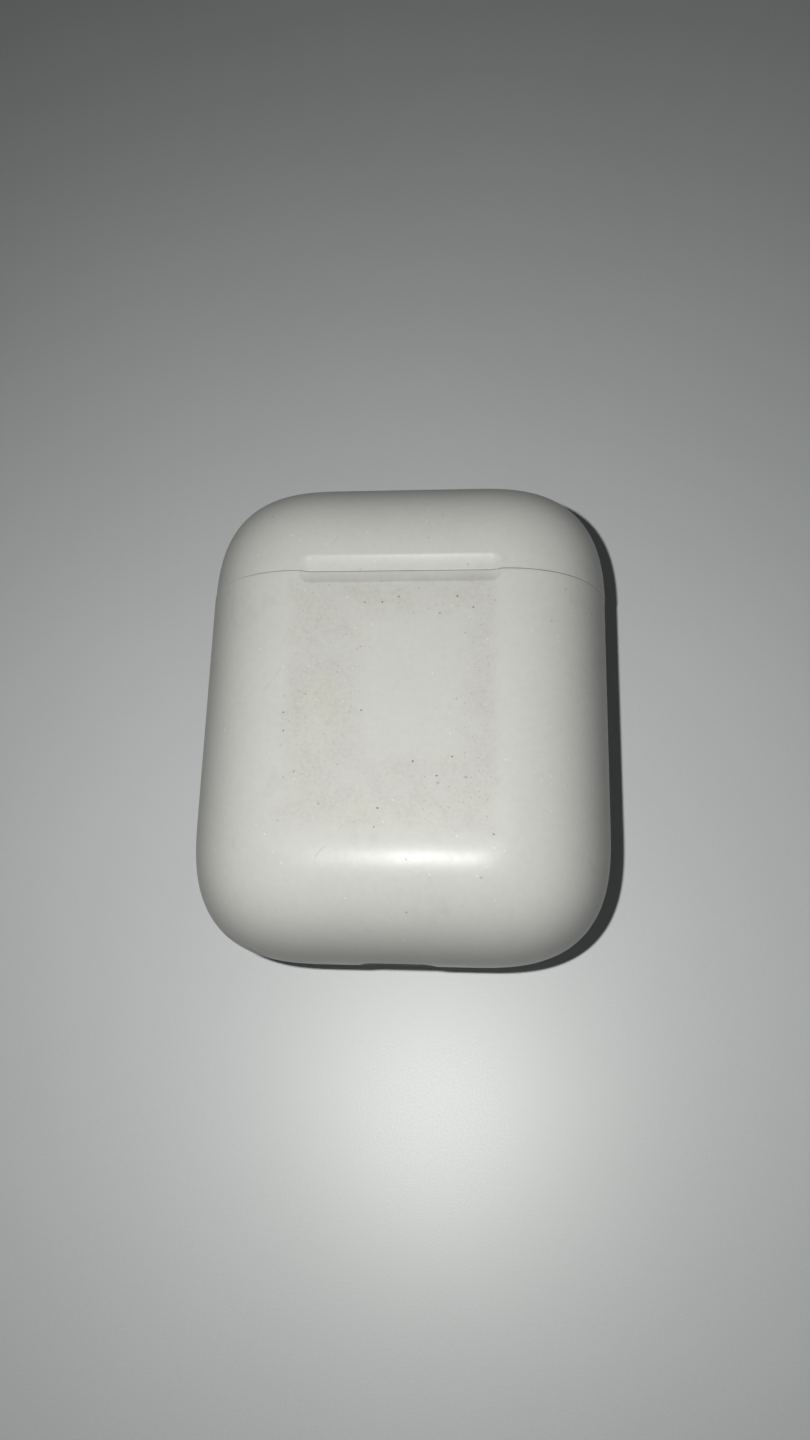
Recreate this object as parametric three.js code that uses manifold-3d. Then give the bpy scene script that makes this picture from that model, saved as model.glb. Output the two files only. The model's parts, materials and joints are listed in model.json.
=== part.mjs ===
// A pocket charging case for a pair of stem-type wireless earbuds, lying on its flat back.
// +X is the case's right, +Y points to the lid end, +Z comes out of the front face.
// The origin is under the middle of the case, on the surface that it rests on. Millimetres.

import * as THREE from 'three';
import { ParametricGeometry } from 'three/addons/geometries/ParametricGeometry.js';
import { mergeVertices } from 'three/addons/utils/BufferGeometryUtils.js';
import Module from 'manifold-3d';

const wasm = await Module();
wasm.setup();

// Outer form: a rounded rectangle whose rim falls away on a near-circular curve.
const WIDTH = 44.3;
const LENGTH = 53.5;
const THICKNESS = 21.3;
const CORNER = 14.8;          // how much of each side the outline's corner takes
const CORNER_POWER = 2.83;    // squareness of that corner, 2 is a circle
const EDGE = 11.2;            // how far the rounded rim reaches in from the outline
const EDGE_POWER = 2.03;
const CORE_CORNER = CORNER - EDGE;
const MID_Z = THICKNESS / 2;

// Walls, seam and clearances.
const WALL = 1.5;
const SEAM_Y = 13.3;
const SEAM_GAP = 0.25;
const BASE_RIM = SEAM_Y - SEAM_GAP / 2;
const LID_RIM = SEAM_Y + SEAM_GAP / 2;
const FIT = 0.2;              // gap between a shell and what drops into it
const LINER_WALL = 0.8;
const FAR = 60;               // larger than any piece, for cutting tools

// Facets: steps in each quarter of an outline, from back to front of the rim, and round a rod.
const OUTER_STEPS = [9, 16];
const INNER_STEPS = [6, 10];
const ROD_SIDES = 20;
const SMALL_ROD_SIDES = 12;

// Thumb scoop across the seam.
const SCOOP_HALF_X = 10.8;
const SCOOP_HALF_Y = 1.6;
const SCOOP_DEPTH = 0.45;
const SCOOP_LIFT = 0.2;       // how far its middle lies above the seam

// Hinge along X at the back of the seam.
const HINGE_Z = 1.1;
const KNUCKLE_R = 1.05;
const KNUCKLE_BORE = 0.46;
const PIN_R = 0.4;
const HINGE_HALF_X = 10;
const LID_KNUCKLE_HALF_X = 5.8;
const KNUCKLE_GAP = 0.3;
const LEAF_LOW = 1.75;
const LEAF_HIGH = 2.25;
const LEAF_HALF_X = 9;
const LEAF_SETBACK = 0.35;    // from the hinge's axis to the edge of each leaf
const BRACKET_END = 7.8;
const LEAF_END = 16.9;
const GROOVE_DEPTH = 3;
const GROOVE_ANGLE = THREE.MathUtils.degToRad(52.5);
const GROOVE_TOP = HINGE_Z + 0.15;
const NOTCH_Z = 2.85;         // tray and liner stay above this over the hinge
const NOTCH_REACH = 8;
const HINGE_SCREWS = { x: 5, baseY: 9.5, lidY: 15.7, shank: 0.5, hole: 0.7, head: 0.9 };

// Wells for the earbuds.
const HEAD_X = 11;
const HEAD_R = { x: 7.4, y: 9, z: 7.2 };
const STEM_X = 13.2;
const STEM_R = 3.4;
const STEM_FLOOR = -18.4;
const TRAY_TOP = 13.05;
const TRAY_PLATE = 1.15;
const LID_CUP_X = 10.4;
const LID_CUP_R = { x: 7, y: 8.6, z: 7 };
const LINER_FACE = 13.55;
const LINER_PLATE = 1.05;
const STEM_TOP = TRAY_TOP - 4;
const LIGHT_HOLE = 0.95;

// Contacts at the foot of each stem well.
const CONTACT_PITCH = 2.6;
const CONTACT_R = 0.35;
const CONTACT_HOLE = 0.5;
const CONTACT_RISE = 0.6;
const CONTACT_LENGTH = 3.1;
const CONTACT_COLLAR = { radius: 0.65, low: -1.4, high: -1.1 };
const CONTACT_TAPER = 0.2;

// Socket at the bottom end.
const SOCKET = { width: 7.6, height: 2.5 };
const SOCKET_WALL = 0.35;
const SOCKET_FRONT = -25.7;
const SOCKET_BACK = -17.7;
const PORT_GAP = 0.7;         // from the socket's opening to the edge of the shell's hole
const TRIM = { wall: SOCKET_WALL + 0.1, y0: -26.55, y1: -25.95 };

// Button on the back.
const BUTTON_Y = -2;
const BUTTON_R = 3;
const BUTTON_RECESS = 0.15;
const BUTTON_EDGE = 0.2;
const BUTTON_FLANGE = { radius: BUTTON_R + 0.7, low: 1.8, high: 2.3 };
const BUTTON_NUB = { radius: 1, high: 2.55 };

// Boards and cell.
const BOARD = { low: 3.4, high: 4.2, halfX: 8.2, y0: -17, y1: 2.5 };
const BOARD_WING = { halfX: 12, length: 4 };
const BOARD_SCREW = { x: 6.5, y: -14.5, shank: 0.45, hole: 0.75, head: 1, boss: 1.6, pilot: 0.6 };
const CELL = { halfX: 7.8, y0: -16.8, y1: 2.4, z0: 5.9, z1: 17.1, corner: 1.2 };
const STRIP = 0.15;           // thickness of a flexible printed cable
const SEAT = 0.05;            // gap under a part that is laid on another

// Magnets: a pair each side of the seam to hold the lid, and one for each earbud.
const LATCH_MAGNET = { size: [3.2, 1.6, 1.8], x: 3, lidY: 15.7, baseY: 10.8, z: 17.5 };
const BUD_MAGNET = { size: [2.6, 2, 3], x: 4.5, y: 4 };

const finish = (color, roughness, metalness = 0) =>
  new THREE.MeshStandardMaterial({ color, roughness, metalness });

const looks = {
  shell: () => finish(0xe9eae6, 0.22),
  liner: () => finish(0xe4e5e1, 0.3),
  steel: () => finish(0xb9bbbd, 0.25, 1),
  darkSteel: () => finish(0x8f9295, 0.35, 1),
  magnet: () => finish(0x9a9ca0, 0.3, 1),
  gold: () => finish(0xc9a45a, 0.3, 1),
  board: () => finish(0x1d3a2a, 0.5),
  chip: () => finish(0x17181a, 0.45),
  cell: () => finish(0x2b2d31, 0.4),
  foam: () => finish(0x3a3a3c, 0.95),
  polyimide: () => finish(0x8a5a1e, 0.4),
  lens: () => finish(0xf2f2ee, 0.15),
  insulator: () => finish(0x151515, 0.5),
};

// ---------- solids ----------

// A closed three.js geometry as a manifold solid, without its zero-area triangles.
function solid(geometry) {
  const bare = geometry.clone();
  bare.deleteAttribute('normal');
  bare.deleteAttribute('uv');
  const merged = mergeVertices(bare, 1e-4);
  const corners = merged.index.array;
  const kept = [];
  for (let i = 0; i < corners.length; i += 3) {
    const [a, b, c] = corners.slice(i, i + 3);
    if (a !== b && b !== c && c !== a) kept.push(a, b, c);
  }
  return new wasm.Manifold(new wasm.Mesh({
    numProp: 3,
    vertProperties: Float32Array.from(merged.attributes.position.array),
    triVerts: Uint32Array.from(kept),
  }));
}

const join = (first, ...others) => others.reduce((sum, next) => sum.add(next), first);
const cut = (first, ...tools) => tools.reduce((rest, tool) => rest.subtract(tool), first);
const bothSides = (make) => [make(-1), make(1)];

function block(x0, x1, y0, y1, z0, z1) {
  const geometry = new THREE.BoxGeometry(x1 - x0, y1 - y0, z1 - z0);
  return solid(geometry.translate((x0 + x1) / 2, (y0 + y1) / 2, (z0 + z1) / 2));
}

function rodX(radius, x0, x1, y, z, sides = ROD_SIDES) {
  const geometry = new THREE.CylinderGeometry(radius, radius, x1 - x0, sides).rotateZ(-Math.PI / 2);
  return solid(geometry.translate((x0 + x1) / 2, y, z));
}

function rodY(radius, y0, y1, x, z, sides = ROD_SIDES) {
  const geometry = new THREE.CylinderGeometry(radius, radius, y1 - y0, sides);
  return solid(geometry.translate(x, (y0 + y1) / 2, z));
}

function rodZ(radius, z0, z1, x, y, sides = SMALL_ROD_SIDES) {
  const geometry = new THREE.CylinderGeometry(radius, radius, z1 - z0, sides).rotateX(Math.PI / 2);
  return solid(geometry.translate(x, y, (z0 + z1) / 2));
}

// A bowl's egg shape, centred on (x, y) at half the case's thickness.
function egg(x, y, radii, grow = 0) {
  const geometry = new THREE.SphereGeometry(1, 24, 14);
  geometry.scale(radii.x + grow, radii.y + grow, radii.z + grow);
  return solid(geometry.translate(x, y, MID_Z));
}

// A slot with round ends, its length along X, its height along Z, running from y0 up to y1.
function slotSolid(width, height, y0, y1) {
  const r = height / 2;
  const shape = new THREE.Shape();
  shape.absarc(width / 2 - r, 0, r, -Math.PI / 2, Math.PI / 2);
  shape.absarc(r - width / 2, 0, r, Math.PI / 2, 1.5 * Math.PI);
  const options = { depth: y1 - y0, bevelEnabled: false, curveSegments: 6 };
  const geometry = new THREE.ExtrudeGeometry(shape, options).rotateX(Math.PI / 2);
  return solid(geometry.translate(0, y1, MID_Z));
}

// A prism along X from a list of (y, z) corners that run anticlockwise seen from +X.
function prismX(corners, x0, x1) {
  const shape = new THREE.Shape(corners.map(([y, z]) => new THREE.Vector2(y, z)));
  const geometry = new THREE.ExtrudeGeometry(shape, { depth: x1 - x0, bevelEnabled: false });
  const turn = new THREE.Matrix4().makeBasis(
    new THREE.Vector3(0, 1, 0),
    new THREE.Vector3(0, 0, 1),
    new THREE.Vector3(1, 0, 0),
  );
  return solid(geometry.applyMatrix4(turn).translate(x0, 0, 0));
}

// A flexible cable: a thin ribbon that follows (y, z) points, from x0 to x1.
function ribbon(points, x0, x1) {
  const back = points.map(([y, z], i) => {
    const [ya, za] = points[Math.max(i - 1, 0)];
    const [yb, zb] = points[Math.min(i + 1, points.length - 1)];
    const run = Math.hypot(yb - ya, zb - za);
    return [y - STRIP * (zb - za) / run, z + STRIP * (yb - ya) / run];
  });
  return prismX([...points, ...back.reverse()], x0, x1);
}

const turned = (profile, sides = SMALL_ROD_SIDES) =>
  new THREE.LatheGeometry(profile.map(([r, h]) => new THREE.Vector2(r, h)), sides);

// ---------- the outer form ----------

const powered = (value, power) => Math.abs(value) ** (2 / power);

function outlinePoint(quarter, angle, halfX, halfY, corner) {
  const signX = quarter === 0 || quarter === 3 ? 1 : -1;
  const signY = quarter < 2 ? 1 : -1;
  return [
    signX * (halfX - corner + corner * powered(Math.cos(angle), CORNER_POWER)),
    signY * (halfY - corner + corner * powered(Math.sin(angle), CORNER_POWER)),
  ];
}

// The case's form, drawn in by inset: stacked outlines from the flat back to the flat front.
function pebble(inset, [cornerSteps, rimSteps]) {
  const slices = 4 * (cornerSteps + 1);
  const stacks = rimSteps + 2;
  const halfZ = MID_Z - inset;
  const place = (u, v, target) => {
    const column = Math.round(u * slices) % slices;
    const row = Math.round(v * stacks);
    if (row === 0 || row === stacks) {
      target.set(0, 0, row === 0 ? MID_Z - halfZ : MID_Z + halfZ);
      return;
    }
    const quarter = Math.floor(column / (cornerSteps + 1));
    const angle = (quarter + (column % (cornerSteps + 1)) / cornerSteps) * Math.PI / 2;
    const rise = ((row - 1) / rimSteps - 0.5) * Math.PI;
    const spread = powered(Math.cos(rise), EDGE_POWER);
    const [coreX, coreY] =
      outlinePoint(quarter, angle, WIDTH / 2 - EDGE, LENGTH / 2 - EDGE, CORE_CORNER);
    const [rimX, rimY] =
      outlinePoint(quarter, angle, WIDTH / 2 - inset, LENGTH / 2 - inset, CORNER - inset);
    const z = MID_Z + Math.sign(rise) * halfZ * powered(Math.sin(rise), EDGE_POWER);
    target.set(coreX + (rimX - coreX) * spread, coreY + (rimY - coreY) * spread, z);
  };
  return solid(new ParametricGeometry(place, slices, stacks));
}

const outerForm = pebble(0, OUTER_STEPS);
const cavity = pebble(WALL, INNER_STEPS);
const insertForm = pebble(WALL + FIT, INNER_STEPS);
const belowSeam = block(-FAR, FAR, -FAR, BASE_RIM, -FAR, FAR);
const aboveSeam = block(-FAR, FAR, LID_RIM, FAR, -FAR, FAR);

// ---------- shells ----------

function scoop() {
  const r = (SCOOP_HALF_Y ** 2 + SCOOP_DEPTH ** 2) / (2 * SCOOP_DEPTH);
  const straight = 2 * (SCOOP_HALF_X - SCOOP_HALF_Y);
  const geometry = new THREE.CapsuleGeometry(r, straight, 6, 20).rotateZ(Math.PI / 2);
  return solid(geometry.translate(0, SEAM_Y + SCOOP_LIFT, THICKNESS - SCOOP_DEPTH + r));
}

// Room for the hinge: a vee across the back and a round channel for the knuckles.
function hingeRelief() {
  const spread = GROOVE_DEPTH * Math.tan(GROOVE_ANGLE);
  const vee = prismX([
    [SEAM_Y, GROOVE_TOP],
    [SEAM_Y - spread, GROOVE_TOP - GROOVE_DEPTH],
    [SEAM_Y + spread, GROOVE_TOP - GROOVE_DEPTH],
  ], -FAR, FAR);
  const end = HINGE_HALF_X + 2 * KNUCKLE_GAP;
  return join(vee, rodX(KNUCKLE_R + KNUCKLE_GAP, -end, end, SEAM_Y, HINGE_Z));
}

const screwHoles = (y) =>
  bothSides((side) => rodZ(HINGE_SCREWS.hole, 0.6, WALL + 1, side * HINGE_SCREWS.x, y));

function baseShell() {
  const bosses = bothSides((side) =>
    rodZ(BOARD_SCREW.boss, WALL / 2, BOARD.low - FIT, side * BOARD_SCREW.x, BOARD_SCREW.y));
  const bossHoles = bothSides((side) =>
    rodZ(BOARD_SCREW.pilot, WALL, BOARD.low, side * BOARD_SCREW.x, BOARD_SCREW.y));
  const cup = outerForm.subtract(cavity).intersect(belowSeam);
  return cut(
    join(cup, ...bosses),
    ...bossHoles,
    ...screwHoles(HINGE_SCREWS.baseY),
    hingeRelief(),
    scoop(),
    rodZ(BUTTON_R + FIT, -1, WALL + 1, 0, BUTTON_Y, 2 * ROD_SIDES),
    slotSolid(SOCKET.width + 2 * PORT_GAP, SOCKET.height + 2 * PORT_GAP, -FAR, SOCKET_FRONT + 1),
  );
}

function lidShell() {
  const cap = outerForm.subtract(cavity).intersect(aboveSeam);
  return cut(cap, ...screwHoles(HINGE_SCREWS.lidY), hingeRelief(), scoop());
}

// ---------- inserts that hold the earbuds ----------

const hingeNotch = () =>
  block(-HINGE_HALF_X - 1, HINGE_HALF_X + 1, SEAM_Y - NOTCH_REACH, SEAM_Y + NOTCH_REACH, -1, NOTCH_Z);

const contactPlaces = bothSides((side) =>
  [-1, 1].map((step) => side * STEM_X + step * CONTACT_PITCH / 2)).flat();

function wellTray() {
  const plate = block(-FAR, FAR, TRAY_TOP - TRAY_PLATE, TRAY_TOP, -FAR, FAR);
  const below = block(-FAR, FAR, -FAR, TRAY_TOP, -FAR, FAR);
  const outside = bothSides((side) => join(
    egg(side * HEAD_X, TRAY_TOP, HEAD_R, LINER_WALL),
    rodY(STEM_R + LINER_WALL, STEM_FLOOR - LINER_WALL, STEM_TOP, side * STEM_X, MID_Z),
  ));
  const inside = bothSides((side) => join(
    egg(side * HEAD_X, TRAY_TOP, HEAD_R),
    rodY(STEM_R, STEM_FLOOR, STEM_TOP, side * STEM_X, MID_Z),
  ));
  const pinHoles = contactPlaces.map((x) =>
    rodY(CONTACT_HOLE, STEM_FLOOR - 2, STEM_FLOOR + 1, x, MID_Z, SMALL_ROD_SIDES));
  const body = join(plate, ...outside).intersect(insertForm).intersect(below);
  return cut(body, ...inside, ...pinHoles, hingeNotch(), rodY(LIGHT_HOLE, 0, FAR, 0, MID_Z));
}

function lidLiner() {
  const plate = block(-FAR, FAR, LINER_FACE, LINER_FACE + LINER_PLATE, -FAR, FAR);
  const above = block(-FAR, FAR, LINER_FACE, FAR, -FAR, FAR);
  const outside = bothSides((side) => egg(side * LID_CUP_X, LINER_FACE, LID_CUP_R, LINER_WALL));
  const inside = bothSides((side) => egg(side * LID_CUP_X, LINER_FACE, LID_CUP_R));
  const body = join(plate, ...outside).intersect(insertForm).intersect(above);
  return cut(body, ...inside, hingeNotch());
}

// ---------- hinge ----------

function hingeBracket() {
  const knuckles = bothSides((side) => {
    const ends = [side * (LID_KNUCKLE_HALF_X + KNUCKLE_GAP), side * HINGE_HALF_X];
    return rodX(KNUCKLE_R, Math.min(...ends), Math.max(...ends), SEAM_Y, HINGE_Z);
  });
  const [low, high] = [BRACKET_END, SEAM_Y - LEAF_SETBACK];
  const plate = block(-LEAF_HALF_X, LEAF_HALF_X, low, high, LEAF_LOW, LEAF_HIGH);
  const room = LID_KNUCKLE_HALF_X + KNUCKLE_GAP;
  const middle = rodX(KNUCKLE_R + KNUCKLE_GAP, -room, room, SEAM_Y, HINGE_Z);
  const holes = bothSides((side) =>
    rodZ(HINGE_SCREWS.hole, 0, FAR, side * HINGE_SCREWS.x, HINGE_SCREWS.baseY));
  const bore = rodX(KNUCKLE_BORE, -FAR, FAR, SEAM_Y, HINGE_Z);
  return cut(join(plate, ...knuckles), middle, bore, ...holes);
}

function hingeLeaf() {
  const knuckle = rodX(KNUCKLE_R, -LID_KNUCKLE_HALF_X, LID_KNUCKLE_HALF_X, SEAM_Y, HINGE_Z);
  const [low, high] = [SEAM_Y + LEAF_SETBACK, LEAF_END];
  const plate = block(-LEAF_HALF_X, LEAF_HALF_X, low, high, LEAF_LOW, LEAF_HIGH);
  const rooms = bothSides((side) => {
    const ends = [side * LID_KNUCKLE_HALF_X, side * (HINGE_HALF_X + 1)];
    const [x0, x1] = [Math.min(...ends), Math.max(...ends)];
    return rodX(KNUCKLE_R + KNUCKLE_GAP, x0, x1, SEAM_Y, HINGE_Z);
  });
  const holes = bothSides((side) =>
    rodZ(HINGE_SCREWS.hole, 0, FAR, side * HINGE_SCREWS.x, HINGE_SCREWS.lidY));
  const bore = rodX(KNUCKLE_BORE, -FAR, FAR, SEAM_Y, HINGE_Z);
  return join(cut(plate, ...rooms), knuckle).intersect(insertForm.add(knuckle)).subtract(
    join(bore, ...holes),
  );
}

// A flat spring that presses on the lid's knuckle and holds it open or shut.
const hingeSpring = () => prismX([
  [8, 2.5],
  [11.6, 2.5],
  [12.9, 2.35],
  [12.9, 2.5],
  [11.6, 2.68],
  [8, 2.68],
], -2.4, 2.4);

const screw = (shank, head, length, headHeight) => turned([
  [0, -length],
  [shank, -length],
  [shank, 0],
  [head, 0],
  [head, headHeight * 0.6],
  [head * 0.7, headHeight],
  [0, headHeight],
]).rotateX(Math.PI / 2);

// ---------- contacts, socket and button ----------

// A sprung pin whose tip stands CONTACT_RISE above the well's floor; its origin is on that floor.
const contact = () => turned([
  [0, CONTACT_RISE - CONTACT_LENGTH],
  [CONTACT_R, CONTACT_RISE - CONTACT_LENGTH],
  [CONTACT_R, CONTACT_COLLAR.low],
  [CONTACT_COLLAR.radius, CONTACT_COLLAR.low],
  [CONTACT_COLLAR.radius, CONTACT_COLLAR.high],
  [CONTACT_R, CONTACT_COLLAR.high],
  [CONTACT_R, CONTACT_RISE - CONTACT_TAPER],
  [CONTACT_R * 0.6, CONTACT_RISE],
  [0, CONTACT_RISE],
]);

function contactBlock() {
  const holes = [-1, 1].map((step) =>
    rodY(CONTACT_HOLE, -1, 1, step * CONTACT_PITCH / 2, 0, SMALL_ROD_SIDES));
  return cut(block(-3, 3, -0.55, 0.55, -1.6, 1.6), ...holes);
}

const socketTube = (wall, y0, y1) => cut(
  slotSolid(SOCKET.width + 2 * wall, SOCKET.height + 2 * wall, y0, y1),
  slotSolid(SOCKET.width, SOCKET.height, y0 - 1, y1 + 1),
);

const setupButton = () => turned([
  [0, BUTTON_RECESS],
  [BUTTON_R - BUTTON_EDGE, BUTTON_RECESS],
  [BUTTON_R, BUTTON_RECESS + BUTTON_EDGE],
  [BUTTON_R, BUTTON_FLANGE.low],
  [BUTTON_FLANGE.radius, BUTTON_FLANGE.low],
  [BUTTON_FLANGE.radius, BUTTON_FLANGE.high],
  [BUTTON_NUB.radius, BUTTON_FLANGE.high],
  [BUTTON_NUB.radius, BUTTON_NUB.high],
  [0, BUTTON_NUB.high],
], 2 * ROD_SIDES).rotateX(Math.PI / 2);

// ---------- boards and cell ----------

function mainBoard() {
  const body = block(-BOARD.halfX, BOARD.halfX, BOARD.y0, BOARD.y1, BOARD.low, BOARD.high);
  const { halfX, length } = BOARD_WING;
  const wings = block(-halfX, halfX, BOARD.y0, BOARD.y0 + length, BOARD.low, BOARD.high);
  const holes = bothSides((side) =>
    rodZ(BOARD_SCREW.hole, 0, FAR, side * BOARD_SCREW.x, BOARD_SCREW.y));
  return cut(join(body, wings), ...holes);
}

function cell() {
  const [x, y] = [CELL.halfX, (CELL.y1 - CELL.y0) / 2];
  const r = CELL.corner;
  const shape = new THREE.Shape();
  shape.absarc(x - r, y - r, r, 0, Math.PI / 2);
  shape.absarc(r - x, y - r, r, Math.PI / 2, Math.PI);
  shape.absarc(r - x, r - y, r, Math.PI, 1.5 * Math.PI);
  shape.absarc(x - r, r - y, r, 1.5 * Math.PI, 2 * Math.PI);
  const options = { depth: CELL.z1 - CELL.z0, bevelEnabled: false, curveSegments: 4 };
  return new THREE.ExtrudeGeometry(shape, options);
}

// ---------- assembly ----------

const pocketCase = new THREE.Group();
const base = new THREE.Group();
const lid = new THREE.Group();
pocketCase.add(base, lid);

function add(parent, name, form, material, position = [0, 0, 0]) {
  const body = form.isBufferGeometry ? solid(form) : form;
  const { numProp, vertProperties, triVerts } = body.getMesh();
  const geometry = new THREE.BufferGeometry();
  geometry.setAttribute('position', new THREE.BufferAttribute(vertProperties, numProp));
  geometry.setIndex(new THREE.BufferAttribute(triVerts, 1));
  geometry.computeVertexNormals();
  const mesh = new THREE.Mesh(geometry, material);
  mesh.name = name;
  mesh.position.set(...position);
  parent.add(mesh);
}

const box = (x, y, z) => new THREE.BoxGeometry(x, y, z);
const sides = [['left', -1], ['right', 1]];

add(base, 'base_shell', baseShell(), looks.shell());
add(lid, 'lid_shell', lidShell(), looks.shell());
add(base, 'well_tray', wellTray(), looks.liner());
add(lid, 'lid_liner', lidLiner(), looks.liner());

add(base, 'hinge_bracket', hingeBracket(), looks.steel());
add(lid, 'hinge_leaf', hingeLeaf(), looks.steel());
add(base, 'hinge_pin', rodX(PIN_R, -10.3, 10.3, 0, 0), looks.steel(), [0, SEAM_Y, HINGE_Z]);
add(base, 'hinge_spring', hingeSpring(), looks.darkSteel());

for (const [word, side] of sides) {
  const { x, baseY, lidY, shank, head } = HINGE_SCREWS;
  const hingeScrew = () => screw(shank, head, 1.5, 0.4);
  const seat = LEAF_HIGH + SEAT;
  add(base, `base_hinge_screw_${word}`, hingeScrew(), looks.darkSteel(), [side * x, baseY, seat]);
  add(lid, `lid_hinge_screw_${word}`, hingeScrew(), looks.darkSteel(), [side * x, lidY, seat]);
  const boardScrew = screw(BOARD_SCREW.shank, BOARD_SCREW.head, 2.2, 0.6);
  add(base, `board_screw_${word}`, boardScrew, looks.darkSteel(),
    [side * BOARD_SCREW.x, BOARD_SCREW.y, BOARD.high + SEAT]);
  const latch = () => box(...LATCH_MAGNET.size);
  const latchX = side * LATCH_MAGNET.x;
  add(lid, `lid_magnet_${word}`, latch(), looks.magnet(), [latchX, LATCH_MAGNET.lidY, LATCH_MAGNET.z]);
  add(base, `base_magnet_${word}`, latch(), looks.magnet(), [latchX, LATCH_MAGNET.baseY, LATCH_MAGNET.z]);
  add(base, `bud_magnet_${word}`, box(...BUD_MAGNET.size), looks.magnet(),
    [side * BUD_MAGNET.x, BUD_MAGNET.y, MID_Z]);
  add(base, `contact_block_${word}`, contactBlock(), looks.insulator(),
    [side * STEM_X, STEM_FLOOR - 2.65, MID_Z]);
  const edges = [side * 9.4, side * 11.6];
  const strip = ribbon([
    [-21, 8.6],
    [-21, 6],
    [-18.5, 4.5],
    [-15, 4.5],
  ], Math.min(...edges), Math.max(...edges));
  add(base, `contact_cable_${word}`, strip, looks.polyimide());
}

for (const [index, x] of contactPlaces.entries()) {
  const word = ['left_outer', 'left_inner', 'right_inner', 'right_outer'][index];
  add(base, `contact_${word}`, contact(), looks.gold(), [x, STEM_FLOOR, MID_Z]);
}

add(base, 'port_trim', socketTube(TRIM.wall, TRIM.y0, TRIM.y1), looks.steel());
add(base, 'port_shell', socketTube(SOCKET_WALL, SOCKET_FRONT, SOCKET_BACK), looks.darkSteel());
add(base, 'port_insulator',
  slotSolid(SOCKET.width - 0.4, SOCKET.height - 0.4, SOCKET_BACK - 2.1, SOCKET_BACK - 0.3),
  looks.insulator());
add(base, 'port_board', box(10.4, 6.6, 0.75), looks.board(), [0, -20.7, 8.35]);
add(base, 'port_cable', ribbon([
  [-17.9, 7.7],
  [-17.9, 5],
  [-17.2, 4.5],
  [-15.6, 4.5],
], -3, 3), looks.polyimide());

add(base, 'main_board', mainBoard(), looks.board());
add(base, 'control_chip', box(6, 6, 0.9), looks.chip(), [-3, -7, BOARD.high + 0.5]);
add(base, 'charge_chip', box(4, 4, 0.8), looks.chip(), [4, -7, BOARD.high + 0.45]);
add(base, 'battery_cell', cell(), looks.cell(), [0, (CELL.y0 + CELL.y1) / 2, CELL.z0]);
add(base, 'battery_pad', box(13, 14, 1.9), looks.foam(), [0, -7, CELL.z1 + 1.25]);

add(base, 'setup_button', setupButton(), looks.shell(), [0, BUTTON_Y, 0]);
add(base, 'button_switch', box(3.6, 3.6, 0.4), looks.chip(), [0, BUTTON_Y, 3.12]);

add(base, 'tray_board', box(4.8, 0.4, 7), looks.board(), [0, 9.6, 12]);
add(base, 'status_led', box(1.6, 0.7, 1.6), looks.lens(), [0, 10.2, MID_Z]);
add(base, 'lid_sensor', box(1.6, 0.7, 1.4), looks.chip(), [0, 10.2, 14]);
add(base, 'light_pipe', rodY(0.75, -1, 1, 0, 0), looks.lens(), [0, 11.95, MID_Z]);
add(base, 'tray_cable', ribbon([
  [9.2, 9],
  [4.5, 9],
  [3.3, 4.9],
  [2.9, 4.5],
  [0, 4.5],
], -1.4, 1.4), looks.polyimide());

export default pocketCase;
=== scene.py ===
"""Looks for a pocket charging case that lies on its back.

Fine shells, inserts and fittings stand in for the frame's plain ones, and every piece gets a node material.
Geometry is worked out in millimetres in the frame's own axes and scaled to metres when a mesh is made.
"""

import json
import math

import bmesh
import bpy
import numpy as np
from mathutils import Matrix, Vector
from mathutils.geometry import tessellate_polygon


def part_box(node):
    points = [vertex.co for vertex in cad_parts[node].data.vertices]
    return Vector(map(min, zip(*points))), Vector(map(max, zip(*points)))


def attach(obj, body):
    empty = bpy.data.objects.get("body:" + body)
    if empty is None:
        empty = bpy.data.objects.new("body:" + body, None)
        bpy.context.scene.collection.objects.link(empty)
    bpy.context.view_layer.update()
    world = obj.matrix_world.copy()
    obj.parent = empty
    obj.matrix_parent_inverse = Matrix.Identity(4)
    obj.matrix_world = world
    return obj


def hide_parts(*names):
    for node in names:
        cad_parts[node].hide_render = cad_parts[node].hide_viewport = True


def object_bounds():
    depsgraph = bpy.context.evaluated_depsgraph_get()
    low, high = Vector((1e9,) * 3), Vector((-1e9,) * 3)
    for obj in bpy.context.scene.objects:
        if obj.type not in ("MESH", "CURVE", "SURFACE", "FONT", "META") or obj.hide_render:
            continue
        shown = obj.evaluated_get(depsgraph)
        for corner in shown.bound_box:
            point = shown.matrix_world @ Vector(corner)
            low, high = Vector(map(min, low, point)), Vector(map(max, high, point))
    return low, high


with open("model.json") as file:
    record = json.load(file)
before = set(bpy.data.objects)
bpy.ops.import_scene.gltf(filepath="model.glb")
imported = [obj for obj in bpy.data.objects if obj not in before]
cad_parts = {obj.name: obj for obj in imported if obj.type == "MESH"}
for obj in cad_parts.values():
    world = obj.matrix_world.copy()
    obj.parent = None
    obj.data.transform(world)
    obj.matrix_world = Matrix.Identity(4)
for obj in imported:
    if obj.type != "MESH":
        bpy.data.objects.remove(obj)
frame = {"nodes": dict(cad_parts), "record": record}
CAD_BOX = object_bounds()

MM = 0.001

# ---- the outer form, read from the frame, and its curve shapes ----
HALF_X = CAD_BOX[1].x / MM
HALF_Y = CAD_BOX[1].y / MM
HALF_Z = CAD_BOX[1].z / MM / 2
CORNER = 14.8            # how much of each side the outline's corner takes
CORNER_POWER = 2.83      # 2 gives round corners, more gives squarer ones
EDGE = 11.2              # how far the rounded rim reaches in from the outline
EDGE_POWER = 2.03
CORE = CORNER - EDGE
CORNER_X = HALF_X - CORNER
CORNER_Y = HALF_Y - CORNER
WALL = 1.5


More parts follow.
